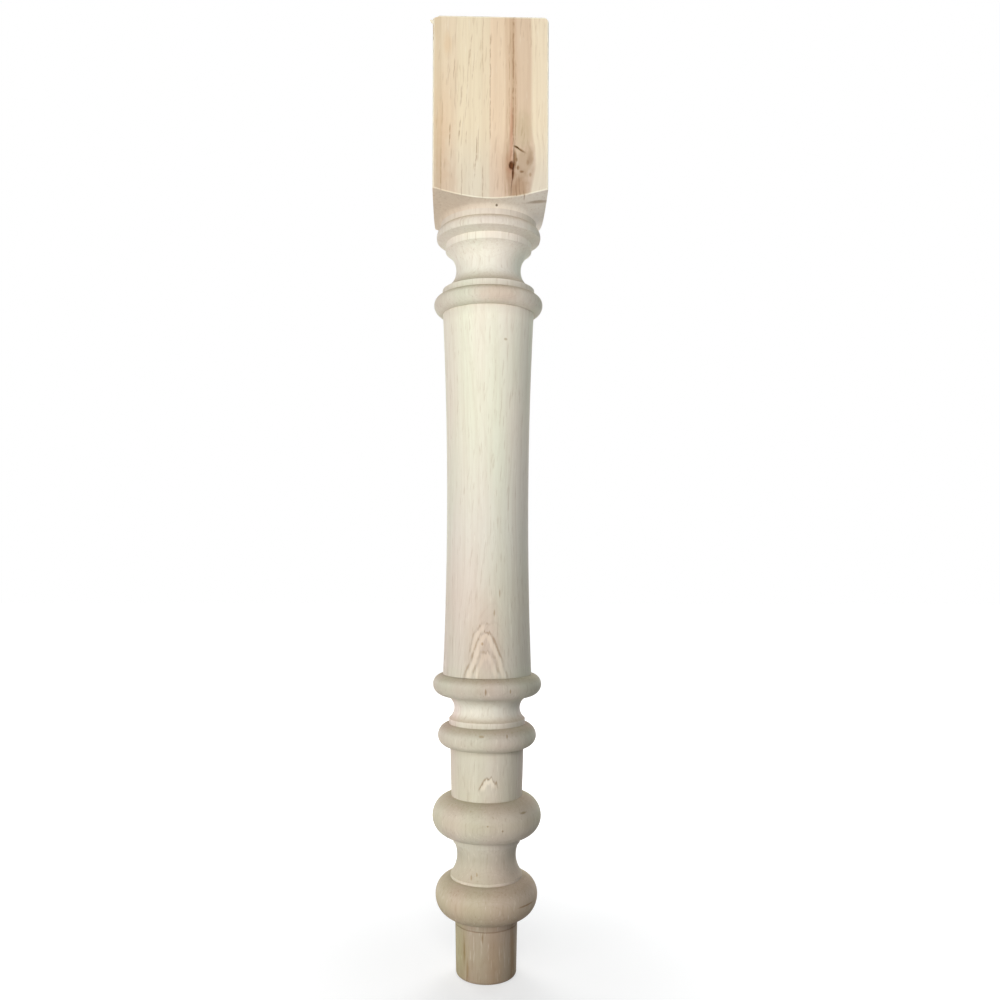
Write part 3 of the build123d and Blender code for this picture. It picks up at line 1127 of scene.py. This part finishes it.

# The ground colour of the turned parts at heights in millimetres, with painted shade and light in it: pale
# in the column and darker and browner to the foot, partly the wood's own colour and partly painted shade.
# The finer stops paint the shade and light of the turned form: darker at the crests of the rings and the
# bead and at the root under the block, lighter on some undersides.
GROUND_AND_PAINTED_SHADE = (
    (0, (164, 149, 130)),
    (20, (171, 158, 139)),
    (42, (172, 158, 142)),
    (56, (177, 162, 143)),
    (64, (188, 173, 153)),
    (73, (199, 186, 170)),
    (79, (214, 205, 192)),
    (85, (198, 187, 173)),
    (97, (187, 178, 165)),
    (107, (207, 200, 190)),
    (120, (197, 189, 175)),
    (128, (197, 189, 171)),
    (138, (211, 204, 192)),
    (155, (209, 200, 187)),
    (173, (208, 200, 189)),
    (187, (204, 195, 182)),
    (195, (203, 196, 185)),
    (204, (223, 213, 205)),
    (214, (226, 219, 213)),
    (222, (208, 200, 190)),
    (229, (194, 185, 173)),
    (237, (209, 204, 193)),
    (250, (209, 200, 191)),
    (300, (218, 209, 198)),
    (351, (226, 222, 212)),
    (443, (240, 235, 221)),
    (515, (245, 242, 227)),
    (527, (226, 220, 207)),
    (536, (226, 221, 206)),
    (549, (239, 237, 227)),
    (570, (248, 244, 232)),
    (597, (222, 212, 200)),
)
TONES_TOP = 600.0 * MM

# The colour of the turned slope under the block, at places across the leg in millimetres: the wood's colour
# with painted shade left of the middle and painted light towards the right.
SHOULDER_COLOUR_AND_PAINTED_SHADE = (
    (-43.0, (226, 208, 186)),
    (-22.0, (218, 202, 183)),
    (4.0, (230, 217, 199)),
    (36.0, (251, 241, 227)),
)


@dataclass(frozen=True)
class Parts:
    """Where on the leg a place lies. above is a length, and each other value goes from 0 to 1."""

    above: Socket
    on_slope: Socket
    on_block: Socket
    on_face: Socket
    on_turning: Socket
    at_end: Socket


@dataclass(frozen=True)
class RawWood:
    """Sanded raw wood: pale sapwood, pinkish heartwood lines, pores, a knot, and a dull surface.

    The growth rings lie about the pith, below a height they widen with the taper, and the block's stripes
    lie slanted in the solid. Heights and depths of the relief are shares of relief_height.
    """

    block: Block
    shoulder: Shoulder
    shoulder_from: float
    pith: Point = (-6.0 * MM, 72.0 * MM)
    ring_width: float = 1.1 * MM
    taper_below: float = 305.0 * MM
    taper: float = 0.075
    stripe_slant: float = -0.9
    knot: Triple = (25.4 * MM, -43.5 * MM, 626.0 * MM)
    knot_size: Triple = (8.5 * MM, 30.0 * MM, 14.0 * MM)
    roughness: float = 0.84
    specular: float = 0.12
    relief_height: float = 0.12 * MM
    relief_strength: float = 0.35
    tool_marks_a_metre: float = 1400.0
    tool_mark_height: float = 0.35
    pore_depth: float = 0.9
    fibre_depth: float = 0.4
    ring_height: float = 0.3

    def material(self) -> bpy.types.Material:
        """Builds the wood.

        Returns:
            The material, ready for the leg's slot.
        """
        made = bpy.data.materials.new(WOOD_SLOT)
        made.use_nodes = True
        graph = Graph(made.node_tree)
        made.node_tree.nodes.clear()
        places = graph.node("ShaderNodeTexCoord")
        spot = places.outputs["Object"]
        x, y, z = graph.split(spot)
        up = graph.split(places.outputs["Normal"])[2]
        parts = self._parts(graph, x, y, z)
        bent = self._bent_fibres(graph, spot)
        rings = self._rings(graph, bent, z, parts.at_end)
        fibres = FIBRES.marks(graph, bent)
        pores = PORES.marks(graph, bent)

        # The ground colour carries painted shade and light that follow the turned form and darken the foot.
        colour = self._clouds(graph, graph.ramp(z, GROUND_AND_PAINTED_SHADE, 0.0, TONES_TOP), spot)
        colour = graph.stain(rings, colour, (196, 172, 150))
        colour = self._arched(graph, colour, x, z, parts.on_turning)
        colour = graph.mix(parts.on_block, colour, self._sawn_colour(graph, bent, y, z))
        # The slope's colour, with painted shade at its left and painted light at its right.
        slope = graph.ramp(x, SHOULDER_COLOUR_AND_PAINTED_SHADE, -self.block.half, self.block.half)
        colour = graph.mix(parts.on_slope, colour, slope)
        colour = FIBRES.lay(graph, colour, fibres)
        colour = PORES.lay(graph, colour, pores)
        colour = FLECKS.lay(graph, colour, FLECKS.marks(graph, bent))
        # Painted highlight on the block's edges.
        colour = self._arris(graph, colour, x, y, z, parts)
        # Upward faces are darkened: partly end grain, partly painted shade.
        colour = self._end_grain(graph, colour, up, spot)
        colour = graph.stain(graph.times(rings, parts.at_end), colour, (176, 150, 120))
        flat = graph.join(x, 0.0, z)
        colour = self._patched(graph, colour, flat, BLOCK_PATCHES, parts.on_face)
        colour = self._patched(graph, colour, flat, TURNED_PATCHES, parts.on_turning)
        off_end = graph.times(parts.on_face, graph.minus(1.0, parts.at_end))
        colour = self._streaked(graph, colour, x, z, off_end)

        shader = graph.node("ShaderNodeBsdfPrincipled")
        shader.inputs["Roughness"].default_value = self.roughness
        shader.inputs["Specular IOR Level"].default_value = self.specular
        graph.feed(shader.inputs["Base Color"], colour)
        graph.feed(shader.inputs["Normal"], self._relief(graph, z, parts.on_block, fibres, pores, rings))
        out = graph.node("ShaderNodeOutputMaterial")
        graph.feed(out.inputs["Surface"], shader.outputs[0])
        return made

    def _parts(self, graph: Graph, x: Socket, y: Socket, z: Socket) -> Parts:
        """Finds on which part of the leg a place lies.

        Args:
            graph: the material's nodes.
            x: the place across the leg.
            y: the place from the front to the back.
            z: the place up the leg.

        Returns:
            The parts.
        """
        shoulder, top = self.shoulder, self.block.top
        radius = graph.length(graph.join(x, y, 0.0))
        out = graph.times(graph.minus(radius, shoulder.root_radius), shoulder.rise)
        above = graph.minus(z, graph.plus(out, shoulder.root_height))
        over_collar = graph.band(z, self.shoulder_from - 0.2 * MM, self.shoulder_from + 0.2 * MM)
        on_slope = graph.times(graph.band(above, 0.45 * MM, 0.2 * MM), over_collar)
        on_block = graph.times(graph.band(above, 0.2 * MM, 0.45 * MM), over_collar)
        front = graph.band(y, 2.0 * MM, -4.0 * MM)
        on_face = graph.times(front, on_block)
        at_end = graph.band(z, top - 0.7 * MM, top - 0.3 * MM)
        return Parts(above, on_slope, on_block, on_face, graph.minus(front, on_face), at_end)

    def _bent_fibres(self, graph: Graph, spot: Socket) -> Socket:
        """Lets the fibres wander and flow round the knot.

        Args:
            graph: the material's nodes.
            spot: the place on the leg.

        Returns:
            The place from which the grain is read.
        """
        x, y, z = graph.split(spot)
        wander = graph.swing(graph.noise(spot, (30.0, 30.0, 9.0), 1.0), 5.0 * MM)
        from_knot = graph.vector("DIVIDE", graph.vector("SUBTRACT", spot, self.knot), self.knot_size)
        near = graph.band(graph.length(from_knot), 2.4, 0.6)
        pull = graph.times(near, graph.minus(self.knot[0], x), 0.55)
        return graph.join(graph.plus(graph.plus(x, wander), pull), graph.plus(y, wander), z)

    def _rings(self, graph: Graph, bent: Socket, z: Socket, at_end: Socket) -> Socket:
        """Cuts the dark lines of the growth rings, faint on the front and plainer on the back and the end.

        Args:
            graph: the material's nodes.
            bent: the place from which the grain is read.
            z: the place up the leg.
            at_end: where the block's sawn end is, from 0 to 1.

        Returns:
            How dark the lines are, from 0 to 1.
        """
        x, y, _ = graph.split(bent)
        across = graph.join(graph.minus(x, self.pith[0]), graph.minus(y, self.pith[1]), 0.0)
        below = graph.math("MAXIMUM", graph.minus(self.taper_below, z), 0.0)
        reach = graph.plus(graph.length(across), graph.times(below, self.taper))
        age = graph.math("DIVIDE", reach, self.ring_width)
        uneven = graph.times(graph.noise_line(graph.times(age, 0.43)), 1.6)
        jagged = graph.times(graph.noise(bent, (620.0, 620.0, 210.0), 2.0), 0.45)
        share = graph.math("FRACT", graph.plus(age, graph.plus(uneven, jagged)))
        line = graph.times(graph.band(share, 0.62, 0.86), graph.band(share, 1.0, 0.92))
        other_noise = graph.noise_line(graph.math("MULTIPLY_ADD", age, 0.5, 31.0))
        strength = graph.band(other_noise, 0.3, 0.7, 0.35, 1.0)
        amount = graph.times(strength, graph.band(y, -8.0 * MM, 18.0 * MM, 0.09, 0.26))
        return graph.times(line, graph.math("MAXIMUM", amount, graph.times(at_end, 0.55)))

    def _clouds(self, graph: Graph, colour: Socket, spot: Socket) -> Socket:
        """Lets the ground wander between a greenish and a rosy cream, in long soft clouds.

        Args:
            graph: the material's nodes.
            colour: the ground.
            spot: the place on the leg.

        Returns:
            The colour with its clouds.
        """
        cloud = graph.band(graph.noise(spot, (30.0, 30.0, 6.0), 1.0), 0.32, 0.68)
        tint = graph.mix(cloud, from_screen((250, 254, 246)), from_screen((255, 250, 248)))
        return graph.mix(1.0, colour, tint, Laying.STAIN)

    def _arched(self, graph: Graph, colour: Socket, x: Socket, z: Socket, share: Socket) -> Socket:
        """Draws the few growth rings that show as arches.

        Args:
            graph: the material's nodes.
            colour: the wood's colour so far.
            x: the place across the leg.
            z: the place up the leg.
            share: where on the leg they may show, from 0 to 1.

        Returns:
            The colour with the arches on it.
        """
        flat = graph.join(x, 0.0, z)
        torn = graph.swing(graph.noise(flat, (700.0, 1.0, 90.0), 2.0), 9.0 * MM)
        bend = graph.noise(flat, (60.0, 1.0, 60.0), 1.0, shift=(0.0, 5.0, 0.0))
        x = graph.plus(x, graph.swing(bend, 4.0 * MM))
        gaps = graph.noise(graph.join(x, 0.0, z), (210.0, 1.0, 130.0), 3.0, shift=(0.0, 9.0, 0.0))
        broken = graph.band(gaps, 0.38, 0.60, 0.2, 1.0)
        for arch in ARCHES:
            colour = arch.draw(graph, colour, (x, z), torn, broken, share)
        return colour

    def _sawn_colour(self, graph: Graph, bent: Socket, y: Socket, z: Socket) -> Socket:
        """Colours the block in broad stripes, which lie slanted in the solid and fold back at its sides.

        Args:
            graph: the material's nodes.
            bent: the place from which the grain is read.
            y: the place from the front to the back.
            z: the place up the leg.

        Returns:
            The block's colour.
        """
        half, width = self.block.half, self.block.width
        inwards = graph.times(graph.plus(y, half), self.stripe_slant)
        slanted = graph.plus(graph.plus(graph.split(bent)[0], inwards), half)
        folded = graph.minus(graph.math("PINGPONG", slanted, width), half)
        stops = []
        for stripe in STRIPES.values():
            stops += [(stripe.left, stripe.colour), (stripe.right, stripe.colour)]
        colour = graph.ramp(folded, stops, -half, half)
        return graph.stain(graph.band(z, 662 * MM, 606 * MM), colour, (242, 246, 255))

    def _arris(self, graph: Graph, colour: Socket, x: Socket, y: Socket, z: Socket, parts: Parts) -> Socket:
        """Lightens the block's rounded edges with a painted highlight, and pales the ground of its sawn end
        with the same colour.

        Args:
            graph: the material's nodes.
            colour: the wood's colour so far.
            x: the place across the leg.
            y: the place from the front to the back.
            z: the place up the leg.
            parts: on which part of the leg the place lies.

        Returns:
            The colour with the painted highlight on its edges.
        """
        half, top = self.block.half, self.block.top
        across = graph.math("MINIMUM", graph.math("ABSOLUTE", x), graph.math("ABSOLUTE", y))
        upright = graph.band(across, half - 1.5 * MM, half - 0.7 * MM)
        over = graph.band(z, top - 1.4 * MM, top - 0.7 * MM)
        rim = graph.band(parts.above, 1.3 * MM, 0.8 * MM)
        edges = graph.math("MAXIMUM", graph.math("MAXIMUM", upright, over), rim)
        # Painted highlight along the block's edges, and the same pale colour over its sawn end.
        return graph.cover(graph.times(edges, parts.on_block, 0.65), colour, (255, 250, 230))

    def _end_grain(self, graph: Graph, colour: Socket, up: Socket, spot: Socket) -> Socket:
        """Darkens the wood where the surface faces upwards: partly end grain, where the surface cuts across
        the fibres, and partly painted shade on the upward faces.

        Args:
            graph: the material's nodes.
            colour: the wood's colour so far.
            up: how far the surface faces upwards.
            spot: the place on the leg.

        Returns:
            The colour with its end grain and painted shade.
        """
        speckle = graph.band(graph.noise(spot, (900.0, 900.0, 400.0), 2.0), 0.3, 0.7)
        # The upward faces darken, partly as end grain and partly as painted shade.
        share = graph.times(graph.band(up, 0.25, 0.85), graph.math("MULTIPLY_ADD", speckle, 0.08, 0.5))
        return graph.stain(share, colour, (206, 192, 170))

    def _patched(self, graph: Graph, colour: Socket, flat: Socket, patches: Sequence[Patch],
                 share: Socket) -> Socket:
        """Lays coloured places over the wood.

        Args:
            graph: the material's nodes.
            colour: the wood's colour so far.
            flat: the place across and up the leg, with nothing for its depth.
            patches: the coloured places.
            share: where on the leg they may show, from 0 to 1.

        Returns:
            The colour with the places on it.
        """
        rough = graph.minus(graph.noise(flat, (260.0, 1.0, 150.0), 3.0), 0.5)
        for patch in patches:
            colour = patch.lay(graph, colour, flat, rough, share)
        return colour

    def _streaked(self, graph: Graph, colour: Socket, x: Socket, z: Socket, share: Socket) -> Socket:
        """Draws the single dark lines of pores that stand out on the block's front.

        Args:
            graph: the material's nodes.
            colour: the wood's colour so far.
            x: the place across the leg.
            z: the place up the leg.
            share: where on the leg they may show, from 0 to 1.

        Returns:
            The colour with the streaks on it.
        """
        wobble = graph.noise(graph.join(x, 0.0, z), (60.0, 1.0, 120.0), 1.0)
        x = graph.plus(x, graph.swing(wobble, 1.6 * MM))
        streaks = STREAKS[0].mask(graph, x, z)
        for streak in STREAKS[1:]:
            streaks = graph.math("MAXIMUM", streaks, streak.mask(graph, x, z))
        gaps = graph.noise(graph.join(x, 0.0, z), (160.0, 1.0, 170.0), 2.0)
        broken = graph.band(gaps, 0.34, 0.56, 0.25, 1.0)
        return graph.stain(graph.times(streaks, broken, share, 0.7), colour, (184, 152, 122))

    def _relief(self, graph: Graph, z: Socket, on_block: Socket, fibres: Socket, pores: Socket,
                rings: Socket) -> Socket:
        """Sinks fibres and pores, raises the rings, and leaves the tool's marks round the turned parts.

        Args:
            graph: the material's nodes.
            z: the place up the leg.
            on_block: where the block is, from 0 to 1.
            fibres: the fine streaks, from 0 to 1.
            pores: the short dark pores, from 0 to 1.
            rings: the lines of the growth rings, from 0 to 1.

        Returns:
            The surface's normal.
        """
        marks = graph.noise_line(graph.times(z, self.tool_marks_a_metre), 2.0)
        height = graph.times(marks, graph.minus(1.0, on_block), self.tool_mark_height)
        height = graph.minus(height, graph.times(pores, self.pore_depth))
        height = graph.minus(height, graph.times(fibres, self.fibre_depth))
        height = graph.plus(height, graph.times(rings, self.ring_height))
        bump = graph.node("ShaderNodeBump")
        bump.inputs["Strength"].default_value = self.relief_strength
        bump.inputs["Distance"].default_value = self.relief_height
        graph.feed(bump.inputs["Height"], height)
        return bump.outputs["Normal"]


@dataclass(frozen=True)
class Lamp:
    """A soft rectangular lamp that looks at a point on the leg."""

    name: str
    place: Triple
    target: Triple
    size: Point
    power: float
    colour: Triple = (1.0, 1.0, 1.0)
    spread: float = 180.0

    def add(self) -> None:
        """Adds the lamp to the scene."""
        light = bpy.data.lights.new(self.name, "AREA")
        light.shape = "RECTANGLE"
        light.size, light.size_y = self.size
        light.energy = self.power
        light.spread = math.radians(self.spread)
        light.color = self.colour
        lamp = bpy.data.objects.new(self.name, light)
        lamp.location = self.place
        lamp.rotation_euler = (Vector(self.target) - Vector(self.place)).to_track_quat("-Z", "Y").to_euler()
        bpy.context.scene.collection.objects.link(lamp)


LAMPS = (
    Lamp("high_front", (-0.06, -0.97, 0.74), (0.0, 0.0, 0.50), (0.45, 0.4), 5.6),
    Lamp("front_left", (-0.65, -0.80, 0.16), (0.0, 0.0, 0.08), (0.45, 0.40), 4.7, (1.0, 0.97, 0.92)),
    Lamp("foot_left", (-0.75, -0.50, 0.14), (0.0, 0.0, 0.05), (0.30, 0.25), 0.16, spread=50.0),
    Lamp("cool_right", (1.30, -0.55, 0.45), (0.0, 0.0, 0.35), (0.6, 1.0), 0.3, (0.62, 0.95, 1.15)),
    Lamp("behind_left", (-0.86, 1.23, 0.40), (0.0, 0.0, 0.40), (0.8, 1.0), 12.0),
    Lamp("behind_right", (0.86, 1.23, 0.40), (0.0, 0.0, 0.40), (0.8, 1.0), 12.0),
    Lamp("over", (0.0, 0.90, 1.60), (0.0, 0.0, 0.60), (0.8, 0.8), 8.0),
)


@dataclass(frozen=True)
class Studio:
    """A pale floor, soft lamps in front of, behind and above the leg, and the photograph's camera.

    The floor keeps shadow_level of its white at the nearer of shadow_reach, and all of it at the farther.
    """

    eye_distance: float = 726.0 * MM
    eye_height: float = 328.8 * MM
    eye_turn: float = -1.65
    eye_lean: float = 0.195
    focal_pixels: float = 910.0
    picture_pixels: float = 1000.0
    axis_column: float = 487.5
    horizon_row: float = 560.0
    sensor: float = 36.0
    world_colour: Colour = (0.85, 0.95, 1.0, 1.0)
    world_strength: float = 0.13
    floor_width: float = 12.0
    floor_colour: Colour = (0.5, 0.5, 0.5, 1.0)
    shadow_reach: Point = (0.04, 0.50)
    shadow_level: float = 0.52

    def camera(self) -> None:
        """Sets the camera where the photograph was taken, level, at about the middle of the leg."""
        data = bpy.data.cameras.new("photo_camera")
        data.sensor_fit = "HORIZONTAL"
        data.sensor_width = self.sensor
        data.lens = self.sensor * self.focal_pixels / self.picture_pixels
        data.shift_x = 0.5 - self.axis_column / self.picture_pixels
        data.shift_y = self.horizon_row / self.picture_pixels - 0.5
        data.clip_start = 0.01
        turn = math.radians(self.eye_turn)
        camera = bpy.data.objects.new("photo_camera", data)
        camera.location = (self.eye_distance * math.sin(turn), -self.eye_distance * math.cos(turn),
                           self.eye_height)
        camera.rotation_euler = (math.radians(90.0), -math.radians(self.eye_lean), turn)
        bpy.context.scene.collection.objects.link(camera)
        bpy.context.scene.camera = camera

    def world(self) -> None:
        """Surrounds the leg with white for the eye and with a weak cool light for its surfaces."""
        world = bpy.data.worlds.new("studio")
        world.use_nodes = True
        bpy.context.scene.world = world
        graph = Graph(world.node_tree)
        world.node_tree.nodes.clear()
        shade = graph.node("ShaderNodeBackground")
        shade.inputs["Color"].default_value = self.world_colour
        shade.inputs["Strength"].default_value = self.world_strength
        seen = graph.node("ShaderNodeBackground")
        seen.inputs["Color"].default_value = (1.0, 1.0, 1.0, 1.0)
        seen.inputs["Strength"].default_value = 1.0
        blend = graph.node("ShaderNodeMixShader")
        graph.feed(blend.inputs[0], white_rays(graph))
        graph.feed(blend.inputs[1], shade.outputs[0])
        graph.feed(blend.inputs[2], seen.outputs[0])
        out = graph.node("ShaderNodeOutputWorld")
        graph.feed(out.inputs["Surface"], blend.outputs[0])

    def floor(self) -> None:
        """Lays the floor, which the eye sees white and which keeps a light shadow near the leg."""
        deselect_all()
        bpy.ops.mesh.primitive_plane_add(size=self.floor_width, location=(0.0, 0.0, 0.0))
        floor = bpy.context.object
        floor.name = "floor"
        made = bpy.data.materials.new("pale_floor")
        made.use_nodes = True
        graph = Graph(made.node_tree)
        made.node_tree.nodes.clear()
        matt = graph.node("ShaderNodeBsdfDiffuse")
        matt.inputs["Color"].default_value = self.floor_colour
        glow = graph.node("ShaderNodeEmission")
        glow.inputs["Color"].default_value = (1.0, 1.0, 1.0, 1.0)
        away = graph.length(graph.node("ShaderNodeTexCoord").outputs["Object"])
        level = graph.band(away, *self.shadow_reach, self.shadow_level, 1.0)
        graph.feed(glow.inputs["Strength"], graph.math("MULTIPLY", white_rays(graph), level))
        blend = graph.node("ShaderNodeAddShader")
        graph.feed(blend.inputs[0], matt.outputs[0])
        graph.feed(blend.inputs[1], glow.outputs[0])
        out = graph.node("ShaderNodeOutputMaterial")
        graph.feed(out.inputs["Surface"], blend.outputs[0])
        floor.data.materials.append(made)

    def build(self) -> None:
        """Sets up the whole studio."""
        bpy.context.scene.view_settings.view_transform = "Standard"
        self.camera()
        for lamp in LAMPS:
            lamp.add()
        self.world()
        self.floor()


def white_rays(graph: Graph) -> Socket:
    """Says whether a ray is one that should meet plain white: seen, mirrored or refracted.

    Args:
        graph: the nodes of the world or of a material.

    Returns:
        1 for such a ray and 0 for others.
    """
    path = graph.node("ShaderNodeLightPath")
    mirrored = graph.math("MAXIMUM", path.outputs["Is Glossy Ray"], path.outputs["Is Transmission Ray"])
    return graph.math("MAXIMUM", path.outputs["Is Camera Ray"], mirrored)


def main() -> None:
    """Builds the studio and the leg."""
    logging.basicConfig(level=logging.INFO, format="%(name)s: %(message)s")
    Studio().build()
    low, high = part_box(LEG_NODE)
    outline = Outline()
    block = Block(width=high[0] - low[0], top=high[2])
    shoulder = Shoulder(outline.shoulder_root.top, outline.height())
    leg = TurnedLeg(outline, block, shoulder).build()
    leg.data.materials.clear()
    wood = RawWood(block, shoulder, outline.foot_of("shoulder_root"))
    leg.data.materials.append(wood.material())
    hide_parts(LEG_NODE)
    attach(leg, BODY)
    LOG.info("%s: %d faces, in place of %s", leg.name, len(leg.data.polygons), LEG_NODE)


if __name__ == "__main__":
    main()
